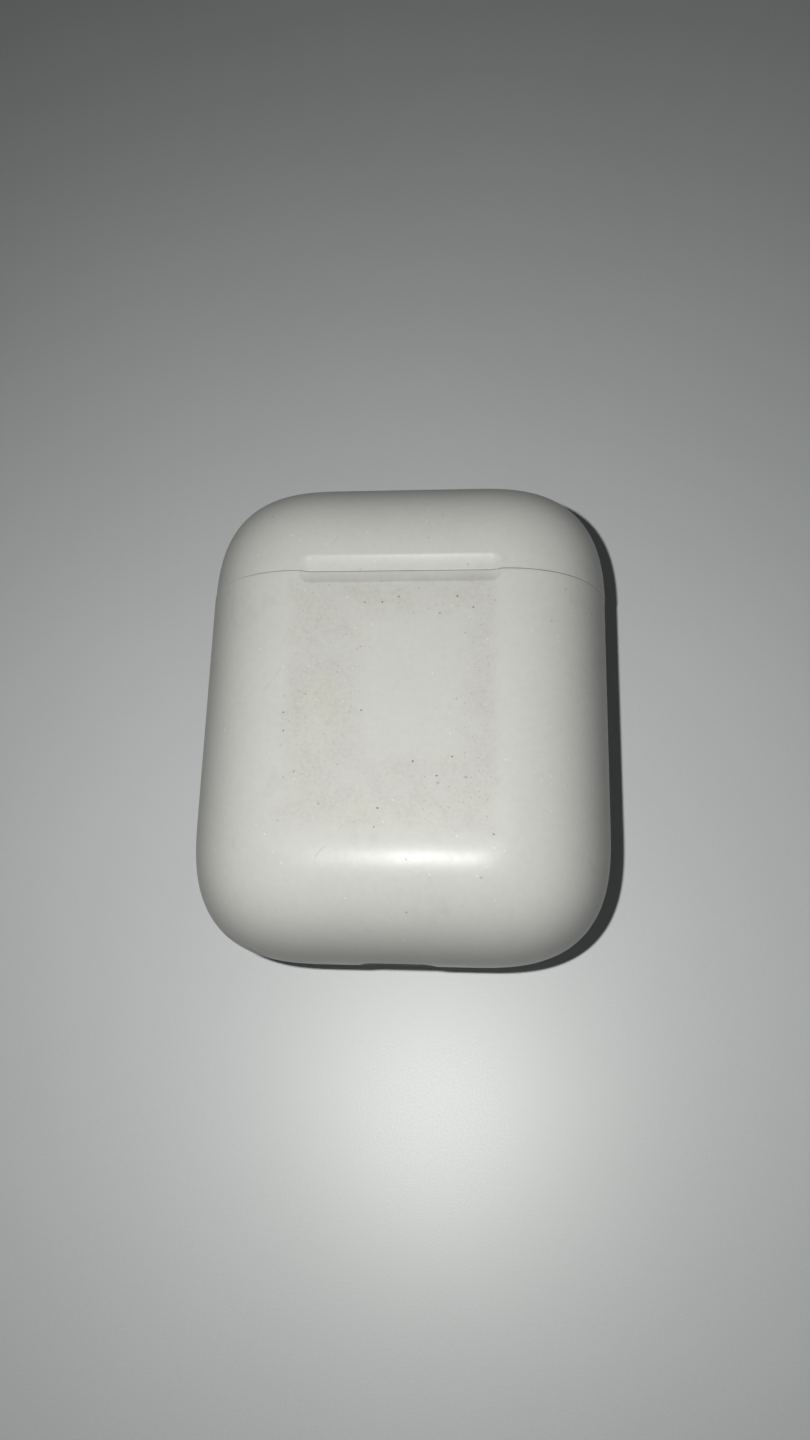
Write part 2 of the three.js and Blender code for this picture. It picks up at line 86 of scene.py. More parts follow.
def node_box(node):
    """A CAD node's lowest and highest corner in millimetres."""
    low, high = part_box(node)
    return np.array(low) / MM, np.array(high) / MM


def node_middle(node):
    """The middle of a CAD node's box in millimetres."""
    low, high = node_box(node)
    return (low + high) / 2


SEAM_Y = (node_box("base_shell")[1][1] + node_box("lid_shell")[0][1]) / 2
SEAM_GAP = 0.035
BASE_RIM = SEAM_Y - SEAM_GAP / 2
LID_RIM = SEAM_Y + SEAM_GAP / 2
LID_SHIFT = 0.07         # the worn hinge lets the lid sit a little to the right
RIM_FILLET = 0.06

# ---- the thumb scoop ----
SCOOP_HALF_X = 10.75
SCOOP_END = 1.25         # how much of its half length the rounded end takes
SCOOP_UP = 1.75          # reach into the lid
SCOOP_DOWN = 1.42        # reach into the base
SCOOP_DEPTH = 0.42
SCOOP_HOLLOW = 0.5       # 0 gives flat flanks, 1 a round hollow
SCOOP_FILLET = 0.035

# ---- the relief for the hinge ----
HINGE_Y, HINGE_Z = (float(value) for value in node_middle("hinge_pin")[1:])
GROOVE_TOP = HINGE_Z + 0.15
GROOVE_SLOPE = 1 / math.tan(math.radians(52.5))
GROOVE_FILLET = 0.16
KNUCKLE_R = 1.05
KNUCKLE_GAP = 0.3

# ---- mesh density and shading ----
FLAT_COLUMNS = 10
ROUND_COLUMNS = 64
CROWDING = 2.2           # how much denser the columns are where the scoop ends
CROWDING_REACH = 0.1     # and over what angle, in radians
WELD_REACH = 2e-6        # in metres
NO_SIZE = 1e-7
SHARP_ANGLE = math.radians(38)


# ======== Small mesh helpers ========


def link(obj):
    bpy.context.scene.collection.objects.link(obj)
    return obj


def smooth(mesh):
    mesh.shade_smooth()
    mesh.set_sharp_from_angle(angle=SHARP_ANGLE)


def weld(bm):
    """Merges points that coincide and drops edges and faces without size."""
    bmesh.ops.remove_doubles(bm, verts=bm.verts, dist=WELD_REACH)
    bmesh.ops.dissolve_degenerate(bm, dist=NO_SIZE, edges=bm.edges)
    loose = [v for v in bm.verts if not v.link_faces]
    bmesh.ops.delete(bm, geom=loose, context="VERTS")


def object_from(bm, name):
    """A smooth-shaded object with a bmesh's faces."""
    mesh = bpy.data.meshes.new(name)
    bm.to_mesh(mesh)
    bm.free()
    smooth(mesh)
    return link(bpy.data.objects.new(name, mesh))


def mesh_object(name, vertices, faces):
    """An object from millimetre points, with doubles merged and faces turned outwards."""
    bm = bmesh.new()
    made = [bm.verts.new(tuple(float(c) * MM for c in v)) for v in vertices]
    for face in faces:
        corners = [made[i] for i in face]
        if len(set(corners)) > 2:
            bm.faces.new(corners)
    weld(bm)
    bmesh.ops.recalc_face_normals(bm, faces=bm.faces)
    return object_from(bm, name)


def boolean(obj, tool, operation="DIFFERENCE"):
    """Applies an exact boolean, welds the result and removes the tool."""
    modifier = obj.modifiers.new("cut", "BOOLEAN")
    modifier.operation = operation
    modifier.solver = "EXACT"
    modifier.object = tool
    depsgraph = bpy.context.evaluated_depsgraph_get()
    result = bpy.data.meshes.new_from_object(obj.evaluated_get(depsgraph))
    obj.modifiers.clear()
    bm = bmesh.new()
    bm.from_mesh(result)
    weld(bm)
    bm.to_mesh(result)
    bm.free()
    obj.data = result
    smooth(result)
    bpy.data.objects.remove(tool)
    return obj


def band(rings, closed=False):
    """Quads between equal-length rings of points, as (points, faces)."""
    count = len(rings[0])
    points = np.concatenate(rings)
    faces = []
    pairs = list(zip(range(len(rings) - 1), range(1, len(rings))))
    if closed:
        pairs.append((len(rings) - 1, 0))
    for a, b in pairs:
        for i in range(count):
            j = (i + 1) % count
            faces.append((a * count + i, a * count + j, b * count + j, b * count + i))
    return points, faces


def merged(*parts):
    """Several (points, faces) sets as one."""
    points, faces, start = [], [], 0
    for part_points, part_faces in parts:
        points.append(np.asarray(part_points, float))
        faces += [tuple(i + start for i in face) for face in part_faces]
        start += len(part_points)
    return np.concatenate(points), faces


def smooth_max(a, b, reach):
    """The larger of a and b, with the corner between them rounded over reach."""
    near = np.maximum(reach - np.abs(a - b), 0) / reach
    return np.maximum(a, b) + near**2 * reach / 4


# ======== The outer form ========


def corner_reach(x, y):
    """How far out the point (x, y) lies: 0 up to the corners' centres, CORNER on the outline."""
    dx = np.maximum(np.abs(x) - CORNER_X, 0)
    dy = np.maximum(np.abs(y) - CORNER_Y, 0)
    return (dx**CORNER_POWER + dy**CORNER_POWER) ** (1 / CORNER_POWER)


def height_at(x, y, inset=0.0):
    """Distance of the surface from the middle plane over the point (x, y)."""
    share = np.clip((corner_reach(x, y) - CORE) / (EDGE - inset), 0, 1)
    return (HALF_Z - inset) * (1 - share**EDGE_POWER) ** (1 / EDGE_POWER)


def end_at(x, height, inset=0.0):
    """Distance in Y of the end surface from the middle, at x and a height off the middle plane."""
    share = np.clip(np.abs(height) / (HALF_Z - inset), 0, 1)
    reach = CORE + (EDGE - inset) * (1 - share**EDGE_POWER) ** (1 / EDGE_POWER)
    dx = np.maximum(np.abs(x) - CORNER_X, 0)
    inside = np.maximum(reach**CORNER_POWER - dx**CORNER_POWER, 0)
    return CORNER_Y + inside ** (1 / CORNER_POWER)


def round_columns():
    """Angles from the flat's edge to the rim, closer together where the scoop ends."""
    fine = np.linspace(0, math.pi / 2, 2000)
    scoop_angle = math.asin((SCOOP_HALF_X - CORNER_X) / CORNER)
    weight = 1 + CROWDING * np.exp(-(((fine - scoop_angle) / CROWDING_REACH) ** 2))
    total = np.cumsum(weight) - weight[0]
    return np.interp(np.linspace(0, total[-1], ROUND_COLUMNS + 1), total, fine)


COLUMN_ANGLES = round_columns()


def quarter(y, inset=0.0):
    """Points (x, height) of one quarter of the section at y, from the middle to the rim."""
    dy = max(abs(y) - CORNER_Y, 0)
    full = CORE + EDGE - inset
    width = max(full**CORNER_POWER - dy**CORNER_POWER, 0) ** (1 / CORNER_POWER)
    flat = CORNER_X * np.arange(FLAT_COLUMNS) / FLAT_COLUMNS
    x = np.concatenate([flat, CORNER_X + width * np.sin(COLUMN_ANGLES)])
    height = height_at(x, np.full_like(x, y), inset)
    height[-1] = 0
    return x, height


def ring_from_quarter(x, height, y):
    """A closed ring (n, 3) from one quarter: front right, back right, back left, front left."""
    xs = np.concatenate([x[:-1], x[:0:-1], -x[:-1], -x[:0:-1]])
    hs = np.concatenate([height[:-1], -height[:0:-1], -height[:-1], height[:0:-1]])
    ys = np.concatenate([y[:-1], y[:0:-1], y[:-1], y[:0:-1]])
    return np.stack([xs, ys, HALF_Z + hs], axis=1)


def section(y, inset=0.0):
    """The closed ring that the outer form, or the form inset from it, has at y."""
    x, height = quarter(y, inset)
    return ring_from_quarter(x, height, np.full_like(x, y))


def scoop_depth(x, y):
    """How deep the thumb scoop is at (x, y), and 0 outside it."""
    side = np.where(y > SEAM_Y, SCOOP_UP, SCOOP_DOWN)
    along = np.maximum(np.abs(x) - (SCOOP_HALF_X - SCOOP_END), 0) / SCOOP_END
    away = np.hypot(along, (y - SEAM_Y) / side)
    depth = SCOOP_DEPTH * (1 - away) * (1 + SCOOP_HOLLOW * np.minimum(away, 1))
    return smooth_max(depth, np.zeros_like(depth), SCOOP_FILLET)


def carve(ring):
    """Lowers the front at the scoop and raises the back at the hinge groove."""
    x, y, z = ring.T.copy()
    front = z > HALF_Z
    z[front] -= scoop_depth(x[front], y[front])
    groove = GROOVE_TOP - np.abs(y - HINGE_Y) * GROOVE_SLOPE
    z[~front] = smooth_max(z[~front], groove[~front], GROOVE_FILLET)
    return np.stack([x, y, z], axis=1)


def rim_rings(rim, inward, steps=5):
    """Rings that round the outer edge of a rim; inward is -1 for the base and 1 for the lid."""
    rings = []
    for turn in np.linspace(0, math.pi / 2, steps + 1):
        y = rim + inward * RIM_FILLET * (1 - math.cos(turn))
        rings.append(carve(section(y, RIM_FILLET * (1 - math.sin(turn)))))
    return rings


def end_rows(start, stop, count, inset=0.0):
    """Values of |y| that close in on an end, evenly spaced round its curve."""
    full = CORNER - inset
    first = math.asin(max(start - CORNER_Y, 0) / full)
    last = math.asin((stop - CORNER_Y) / full)
    return CORNER_Y + full * np.sin(np.linspace(first, last, count))


def lens_cap(y, inset, sign, strips=8):
    """Closes an end: strips of quads across the last, lens-shaped section at |y|."""
    x, height = quarter(y, inset)
    xs = np.concatenate([-x[:0:-1], x])
    hs = np.concatenate([height[:0:-1], height])
    rows = []
    for share in np.linspace(1, -1, strips + 1):
        rows.append(np.stack([xs, sign * end_at(xs, hs * share, inset), HALF_Z + hs * share], axis=1))
    faces = []
    count = len(xs)
    for row in range(strips):
        for i in range(count - 1):
            a = row * count + i
            faces.append((a, a + 1, a + 1 + count, a + count))
    return np.concatenate(rows), faces


# ======== Shells ========

SCOOP_ROW = 0.09         # row spacing across the scoop
SCOOP_ROWS_DOWN = 2.2    # how far from the seam the close rows go into the base
SCOOP_ROWS_UP = 2.4      # and into the lid
BODY_ROWS = 30
BOTTOM_ROWS = 34
TOP_ROWS = 40
INNER_ROWS = 12
INNER_BODY_ROWS = 9
END_STOP = HALF_Y - 0.4  # where the rows stop short of an end

PORT_CLEARANCE = 0.2     # room round the port's steel ring
PORT_FILLET = 0.15
PORT_LIP = 0.5           # how far the casing reaches in over the port's steel ring
PORT_LIP_BACK = 0.5 - HALF_Y
PORT_ROWS = 10
PORT_INNER_ROWS = 4

BUTTON_HOLE_R = 3.2
BUTTON_HOLE_TOP = 3.0
BUTTON_HOLE_FLARE = 0.15


def stadium_quarter(half_width, half_height, progress):
    """Quarter of a slot with round ends, at shares of its length from the middle to the tip."""
    straight = half_width - half_height
    arc = half_height * math.pi / 2
    distance = progress * (straight + arc)
    turn = np.clip(distance - straight, 0, None) / half_height
    x = np.where(distance < straight, distance, straight + half_height * np.sin(turn))
    return x, half_height * np.where(distance < straight, 1.0, np.cos(turn))


def progress_along(x, height):
    """Share of a quarter's length reached at each of its points."""
    steps = np.hypot(np.diff(x), np.diff(height))
    total = np.concatenate([[0], np.cumsum(steps)])
    return total / total[-1]


def port_hole(grow):
    """Half width and half height of the room for the port's ring, grown all round."""
    low, high = node_box("port_trim")
    half = (high - low) / 2 + PORT_CLEARANCE + grow
    return half[0], half[2]


def port_blend(stop, inset, steps):
    """Rings on the bottom end from the section at -stop to the edge of the port's hole."""
    x0, h0 = quarter(stop, inset)
    grow = PORT_FILLET - PORT_LIP if inset == 0 else 0
    x1, h1 = stadium_quarter(*port_hole(grow), progress_along(x0, h0))
    rings = []
    for share in np.linspace(0, 1, steps + 1)[1:]:
        x = x0 + (x1 - x0) * share
        height = h0 + (h1 - h0) * share
        rings.append(ring_from_quarter(x, height, -end_at(x, height, inset)))
    return rings


def port_edge(stop, steps=4):
    """Rings that round the outer edge of the port's hole and widen it behind its lip."""
    progress = progress_along(*quarter(stop))
    rings = []
    for turn in np.linspace(0, math.pi / 2, steps + 1)[1:]:
        grow = PORT_FILLET * (1 - math.sin(turn)) - PORT_LIP
        x, height = stadium_quarter(*port_hole(grow), progress)
        y = -end_at(x, height) + PORT_FILLET * (1 - math.cos(turn))
        rings.append(ring_from_quarter(x, height, y))
    for grow in (-PORT_LIP, 0):
        x, height = stadium_quarter(*port_hole(grow), progress)
        rings.append(ring_from_quarter(x, height, np.full(len(x), PORT_LIP_BACK)))
    return rings


def base_rings():
    """The base casing's rings, from its rim round the port's hole and back up the inside."""
    outer = rim_rings(BASE_RIM, -1)
    scoop_rows = np.arange(BASE_RIM - RIM_FILLET, SEAM_Y - SCOOP_ROWS_DOWN, -SCOOP_ROW)[1:]
    body_rows = np.linspace(scoop_rows[-1], -CORNER_Y, BODY_ROWS)[1:]
    bottom_rows = -end_rows(CORNER_Y, END_STOP, BOTTOM_ROWS)[1:]
    for y in [*scoop_rows, *body_rows, *bottom_rows]:
        outer.append(carve(section(y)))
    outer += port_blend(END_STOP, 0, PORT_ROWS)
    outer += port_edge(END_STOP)
    stop = END_STOP - WALL
    inner = port_blend(stop, WALL, PORT_INNER_ROWS)[::-1]
    for y in -end_rows(CORNER_Y, stop, INNER_ROWS, WALL)[::-1]:
        inner.append(section(y, WALL))
    for y in np.linspace(-CORNER_Y, BASE_RIM, INNER_BODY_ROWS)[1:]:
        inner.append(carve(section(y, WALL)))
    return outer + inner


def lid_parts():
    """The lid casing's points and faces: one band from inside to outside, and its two end caps."""
    outer = rim_rings(LID_RIM, 1)
    scoop_rows = np.arange(LID_RIM + RIM_FILLET, SEAM_Y + SCOOP_ROWS_UP, SCOOP_ROW)[1:]
    top_rows = end_rows(scoop_rows[-1], END_STOP, TOP_ROWS)[1:]
    for y in [*scoop_rows, *top_rows]:
        outer.append(carve(section(y)))
    stop = END_STOP - WALL
    inner = [carve(section(LID_RIM, WALL))]
    for y in end_rows(LID_RIM, stop, INNER_ROWS, WALL)[1:]:
        inner.append(section(y, WALL))
    tube = band(inner[::-1] + outer)
    return merged(tube, lens_cap(END_STOP, 0, 1), lens_cap(stop, WALL, 1))


def channel_tool():
    """The round channel that the hinge's knuckles turn in."""
    half = node_box("hinge_bracket")[1][0] + 2 * KNUCKLE_GAP
    return rod("channel", "X", KNUCKLE_R + KNUCKLE_GAP, (-half, half), (HINGE_Y, HINGE_Z), sides=64)


def button_tool():
    """A round hole whose mouth is flared, so that the cut leaves a rounded edge."""
    x, y = node_middle("setup_button")[:2]
    profile = [(0, BUTTON_HOLE_TOP), (BUTTON_HOLE_R, BUTTON_HOLE_TOP), (BUTTON_HOLE_R, BUTTON_HOLE_FLARE)]
    for turn in np.linspace(0, math.pi / 2, 6)[1:]:
        radius = BUTTON_HOLE_R + BUTTON_HOLE_FLARE * (1 - math.cos(turn))
        profile.append((radius, BUTTON_HOLE_FLARE * (1 - math.sin(turn))))
    profile += [(BUTTON_HOLE_R + BUTTON_HOLE_FLARE, -1), (0, -1)]
    return turned("button_hole", profile, (x, y, 0), "Z", 96)


def base_shell():
    shell = mesh_object("base_casing", *band(base_rings(), closed=True))
    boolean(shell, channel_tool())
    boolean(shell, button_tool())
    return shell


def lid_shell():
    points, faces = lid_parts()
    shell = mesh_object("lid_casing", points + np.array([LID_SHIFT, 0, 0]), faces)
    boolean(shell, channel_tool())
    return shell


# ======== Turned and extruded pieces ========


def along(axis, flat, height):
    """Puts points given across an axis and along it into X, Y, Z."""
    a, b = flat
    stacked = {"X": (height, a, b), "Y": (a, height, b), "Z": (a, b, height)}[axis]
    return np.stack(np.broadcast_arrays(*stacked), axis=1)


def turned(name, profile, origin, axis="Z", sides=64):
    """A solid of revolution from (radius, height) points that start and end on the axis."""
    turns = np.arange(sides) * 2 * math.pi / sides
    rings = []
    for radius, height in profile:
        flat = (radius * np.cos(turns), radius * np.sin(turns))
        rings.append(along(axis, flat, np.full(sides, float(height))))
    points, faces = band(rings)
    return mesh_object(name, points + np.array(origin, float), faces)


def rod(name, axis, radius, ends, centre, sides=48, chamfer=0.0):
    """A straight rod along an axis, with chamfered ends; centre is its place across the axis."""
    low, high = ends
    profile = [(0, low), (radius - chamfer, low), (radius, low + chamfer)]
    profile += [(radius, high - chamfer), (radius - chamfer, high), (0, high)]
    origin = {"X": (0, *centre), "Y": (centre[0], 0, centre[1]), "Z": (*centre, 0)}[axis]
    return turned(name, profile, origin, axis, sides)


def rounded_block(name, low, high, radius):
    """A block with rounded edges."""
    bm = bmesh.new()
    bmesh.ops.create_cube(bm, size=1)
    size = (np.array(high) - np.array(low)) * MM
    centre = (np.array(high) + np.array(low)) / 2 * MM
    bmesh.ops.scale(bm, vec=Vector(size), verts=bm.verts)
    bmesh.ops.translate(bm, vec=Vector(centre), verts=bm.verts)
    edges = bm.edges[:]
    bmesh.ops.bevel(bm, geom=edges, offset=radius * MM, segments=3, profile=0.5, affect="EDGES")
    return object_from(bm, name)


def circle(radius, centre, y, sides=48):
    """A ring of points round an axis along Y; centre is (x, z)."""
    turns = np.arange(sides) * 2 * math.pi / sides
    x = centre[0] + radius * np.cos(turns)
    z = centre[1] + radius * np.sin(turns)
    return np.stack([x, np.full(sides, float(y)), z], axis=1)


def slot_ring(half_width, half_height, y, columns=16):
    """A ring with straight sides and round ends across Y."""
    x, height = stadium_quarter(half_width, half_height, np.linspace(0, 1, columns + 1))
    return ring_from_quarter(x, height, np.full_like(x, float(y)))


def filled(outer, holes=()):
    """Triangles that fill a flat loop across Y, less its holes."""
    loops = [outer, *holes]
    polygons = [[Vector((p[0], p[2], 0)) for p in loop] for loop in loops]
    return np.concatenate(loops), tessellate_polygon(polygons)


# ======== The inserts that hold the earbuds ========

TRAY_FIT = WALL + 0.2    # inset of the inserts' edges from the outer form
TRAY_PLATE = 1.15
LINER_PLATE = 1.05
LINER_WALL = 0.8         # wall of the pockets under the plates
PLATE_FILLET = 0.25
LIP_FILLET = 0.5
NOTCH_HALF_X = 11.0
NOTCH_END = 0.5
NOTCH_Z = 2.85
HEAD_X = 11.0
HEAD_RADII = (7.4, 9.0, 7.2)
STEM_X = 13.2
STEM_R = 3.4
STEM_FLOOR = -18.4
STEM_BLEND = 1.2         # reach of the fillet between a head pocket and its stem well
WELL_FILLET = 0.3
CONTACT_HOLE = 0.5
CONTACT_PITCH = 2.6
LIGHT_HOLE = 0.85
CUP_X = 10.4
CUP_RADII = (7.0, 8.6, 7.0)
POCKET_ROWS = 26
STEM_ROWS = 8
CUP_ROWS = 30
RING_SIDES = 96
RING_TURNS = np.arange(RING_SIDES) * 2 * math.pi / RING_SIDES


def notched(ring):
    """Lifts the part of a plate's outline that lies over the hinge."""
    x, y, z = ring.T.copy()
    share = np.clip((NOTCH_HALF_X + NOTCH_END - np.abs(x)) / NOTCH_END, 0, 1)
    over = (z < HALF_Z) & (share > 0)
    z[over] = np.maximum(z[over], NOTCH_Z * share[over])
    return np.stack([x, y, z], axis=1)


def plate_edge(face_y, back_y):
    """Rings round the edge of a plate whose visible face is at face_y."""
    inward = 1 if back_y > face_y else -1
    rings = []
    for turn in np.linspace(0, math.pi / 2, 5):
        y = face_y + inward * PLATE_FILLET * (1 - math.cos(turn))
        inset = TRAY_FIT + PLATE_FILLET * (1 - math.sin(turn))
        rings.append(notched(section(y, inset)))
    rings.append(notched(section(back_y, TRAY_FIT)))
    return rings


def pocket_radius(depth, radii, offset, stem):
    """Distance from the stem's axis to the pocket's wall at a depth below its rim, for each turn."""
    rx, ry, rz = radii
    size = math.sqrt(max(1 - (depth / ry) ** 2, 0))
    ax, az = max(rx * size, 1e-6), max(rz * size, 1e-6)
    c, s = np.cos(RING_TURNS), np.sin(RING_TURNS)
    square = (c / ax) ** 2 + (s / az) ** 2
    half = offset * c / ax**2
    rest = (offset / ax) ** 2 - 1
    root = half**2 - square * rest
    bowl = np.where(root > 0, (-half + np.sqrt(np.maximum(root, 0))) / square, 0)
    return smooth_max(bowl, np.full_like(bowl, stem), STEM_BLEND) if stem else bowl


def radial_ring(radius, x, y):
    """A ring across Y round a point at x, with one radius or a radius for each turn."""
    px = x + radius * np.cos(RING_TURNS)
    pz = HALF_Z + radius * np.sin(RING_TURNS)
    return np.stack([px, np.full_like(px, float(y)), pz], axis=1)


def lip_rings(radius, x, face_y, inward, steps=6):
    """Rounds the rim of a pocket; inward is the way into the plate."""
    rings = []
    for turn in np.linspace(0, math.pi / 2, steps):
        y = face_y + inward * LIP_FILLET * (1 - math.cos(turn))
        rings.append(radial_ring(radius + LIP_FILLET * (1 - math.sin(turn)), x, y))
    return rings


def head_pocket(side, face_y, grow, back_y=None):
    """Rings of one well from its rim to its floor, for the inside or, with grow, the outside."""
    middle = side * STEM_X
    offset = side * (STEM_X - HEAD_X)
    radii = tuple(r + grow for r in HEAD_RADII)
    stem = STEM_R + grow
    rings = []
    if back_y is None:
        rings = lip_rings(pocket_radius(0, radii, offset, stem), middle, face_y, -1)
    start = LIP_FILLET if back_y is None else face_y - back_y
    for turn in np.linspace(math.asin(start / radii[1]), math.pi / 2, POCKET_ROWS):
        depth = radii[1] * math.sin(turn)
        rings.append(radial_ring(pocket_radius(depth, radii, offset, stem), middle, face_y - depth))
    floor = STEM_FLOOR - grow
    for y in np.linspace(face_y - radii[1], floor + WELL_FILLET, STEM_ROWS)[1:]:
        rings.append(radial_ring(stem, middle, y))
    for turn in np.linspace(0, math.pi / 2, 4)[1:]:
        radius = stem - WELL_FILLET * (1 - math.cos(turn))
        rings.append(radial_ring(radius, middle, floor + WELL_FILLET * (1 - math.sin(turn))))
    return rings


def contact_holes(side, y):
    """Rings of the two holes for the sprung contacts in one well's floor."""
    places = [side * STEM_X - CONTACT_PITCH / 2, side * STEM_X + CONTACT_PITCH / 2]
    return [circle(CONTACT_HOLE, (x, HALF_Z), y, 24) for x in places]


def well_tray():
    """The tray: a plate with two wells, open for the contacts and the status light."""
    face = node_box("well_tray")[1][1]
    back = face - TRAY_PLATE
    edge = plate_edge(face, back)
    parts = [band(edge)]
    face_holes, back_holes = [], []
    for side in (-1, 1):
        inner = head_pocket(side, face, 0)
        outer = head_pocket(side, face, LINER_WALL, back)
        parts += [band(inner), band(outer)]
        inner_holes = contact_holes(side, STEM_FLOOR)
        outer_holes = contact_holes(side, STEM_FLOOR - LINER_WALL)
        parts += [filled(inner[-1], inner_holes), filled(outer[-1], outer_holes)]
        parts += [band(pair) for pair in zip(inner_holes, outer_holes)]
        face_holes.append(inner[0])
        back_holes.append(outer[0])
    light = [circle(LIGHT_HOLE, (0, HALF_Z), y) for y in (face, back)]
    parts += [band(light), filled(edge[0], [*face_holes, light[0]])]
    parts.append(filled(edge[-1], [*back_holes, light[1]]))
    return mesh_object("tray", *merged(*parts))


def cup(side, face_y, grow, back_y=None):
    """Rings of one lid recess from its rim to its pole, for the inside or, with grow, the outside."""
    radii = tuple(r + grow for r in CUP_RADII)
    rings = []
    if back_y is None:
        rings = lip_rings(pocket_radius(0, radii, 0, 0), side * CUP_X, face_y, 1)
    start = LIP_FILLET if back_y is None else back_y - face_y
    for turn in np.linspace(math.asin(start / radii[1]), math.pi / 2, CUP_ROWS):
        depth = radii[1] * math.sin(turn)
        rings.append(radial_ring(pocket_radius(depth, radii, 0, 0), side * CUP_X, face_y + depth))
    return rings


def lid_liner():
    """The lid's liner: a plate with a recess over each earbud's head."""
    face = node_box("lid_liner")[0][1]
    back = face + LINER_PLATE
    edge = plate_edge(face, back)
    parts = [band(edge)]
    face_holes, back_holes = [], []
    for side in (-1, 1):
        inner = cup(side, face, 0)
        outer = cup(side, face, LINER_WALL, back)
        parts += [band(inner), band(outer)]
        face_holes.append(inner[0])
        back_holes.append(outer[0])
    parts += [filled(edge[0], face_holes), filled(edge[-1], back_holes)]
    return mesh_object("liner", *merged(*parts))


# ======== Hinge, button and port ========


HINGE_AXIS = (HINGE_Y, HINGE_Z)
HINGE_HALF = 10.6        # half the length that the hinge has room for
LEAF_HALF_X = 8.9
LEAF_THICKNESS = 0.5
LEAF_EDGE = 0.1
LEAF_SETBACK = 0.3       # from the hinge's axis to a leaf's near edge
LEAF_HOLE = 0.7
KNUCKLE_CHAMFER = 0.08
KNUCKLE_BORE = 0.46
SHORTEST_GAP = 0.7
LID_KNUCKLE = 5.8        # half the length of the lid's knuckle
PIN_R = 0.4
PIN_CHAMFER = 0.12

BUTTON_R = 3.0
BUTTON_EDGE = 0.18
BUTTON_FLANGE = 0.7      # how far the flange stands out under the casing
BUTTON_FLANGE_LOW = 1.8
BUTTON_FLANGE_HIGH = 2.3
BUTTON_NUB = 1.0

SOCKET_HALF_X = 3.8
SOCKET_WALL = 0.35
PORT_RING_FILLET = 0.1
PORT_RING_SETBACK = 0.35
PORT_CAN_FILLET = 0.05
STRIP_COUNT = 8
STRIP_PITCH = 0.8
STRIP_HALF_X = 0.2
STRIP_START = -25.0
STRIP_END = -19.9
STRIP_LOW = 0.02         # over the socket's lower wall
STRIP_HIGH = 0.14
STRIP_EDGE = 0.04


def gaps(spans):
    """The stretches of the hinge's length between and beyond the given spans."""
    edges = [-HINGE_HALF, *[value for span in spans for value in span], HINGE_HALF]
    return [(a, b) for a, b in zip(edges[::2], edges[1::2]) if b - a > SHORTEST_GAP]


def hinge_half(name, node, spans, screw):
    """A leaf, cut away between its knuckles, with knuckles on the hinge's axis over the spans of X."""
    low, high = node_box(node)
    if node == "hinge_bracket":
        near, far = low[1], HINGE_Y - LEAF_SETBACK
    else:
        near, far = HINGE_Y + LEAF_SETBACK, high[1]
    leaf_low = (-LEAF_HALF_X, near, high[2] - LEAF_THICKNESS)
    leaf_high = (LEAF_HALF_X, far, high[2])
    piece = rounded_block(name, leaf_low, leaf_high, LEAF_EDGE)
    for a, b in gaps(spans):
        ends = (a - KNUCKLE_GAP, b + KNUCKLE_GAP)
        boolean(piece, rod("room", "X", KNUCKLE_R + KNUCKLE_GAP, ends, HINGE_AXIS))
    for ends in spans:
        knuckle = rod("knuckle", "X", KNUCKLE_R, ends, HINGE_AXIS, 64, KNUCKLE_CHAMFER)
        boolean(piece, knuckle, "UNION")
    bore_ends = (-HINGE_HALF - 1, HINGE_HALF + 1)
    boolean(piece, rod("bore", "X", KNUCKLE_BORE, bore_ends, HINGE_AXIS, 32))
    for side in ("left", "right"):
        place_at = node_middle(f"{screw}_{side}")[:2]
        boolean(piece, rod("hole", "Z", LEAF_HOLE, (0, high[2] + 1), place_at, 32))
    return piece


def hinge_pin():
    low, high = node_box("hinge_pin")
    return rod("pin", "X", PIN_R, (low[0], high[0]), HINGE_AXIS, 32, PIN_CHAMFER)


def setup_button():
    """The button: a cap with a rounded rim, a flange that keeps it in, and a nub over its switch."""
    bottom, top = (corner[2] for corner in node_box("setup_button"))
    x, y = node_middle("setup_button")[:2]
    profile = [(0, bottom)]
    for turn in np.linspace(0, math.pi / 2, 6):
        radius = BUTTON_R - BUTTON_EDGE + BUTTON_EDGE * math.sin(turn)
        profile.append((radius, bottom + BUTTON_EDGE * (1 - math.cos(turn))))
    flange_r = BUTTON_R + BUTTON_FLANGE
    profile += [(BUTTON_R, BUTTON_FLANGE_LOW), (flange_r, BUTTON_FLANGE_LOW)]
    profile += [(flange_r, BUTTON_FLANGE_HIGH), (BUTTON_NUB, BUTTON_FLANGE_HIGH)]
    profile += [(BUTTON_NUB, top), (0, top)]
    return turned("button_cap", profile, (x, y, 0), "Z", 96)


def slot_tube(name, node, mouth_fillet, setback=0.0):
    """A slot-shaped metal tube with a rounded mouth, as large as a CAD node but for its set-back mouth."""
    low, high = node_box(node)
    mouth = low[1] + setback
    half_width, half_height = (high[0] - low[0]) / 2, (high[2] - low[2]) / 2
    wall = half_width - SOCKET_HALF_X
    rings = [slot_ring(half_width, half_height, high[1])]
    rings.append(slot_ring(half_width, half_height, mouth + mouth_fillet))
    for turn in np.linspace(0, math.pi, 9)[1:]:
        inset = wall / 2 * (1 - math.cos(turn))
        y = mouth + mouth_fillet * (1 - math.sin(turn))
        rings.append(slot_ring(half_width - inset, half_height - inset, y))
    rings.append(slot_ring(SOCKET_HALF_X, half_height - wall, high[1]))
    return mesh_object(name, *band(rings, closed=True))


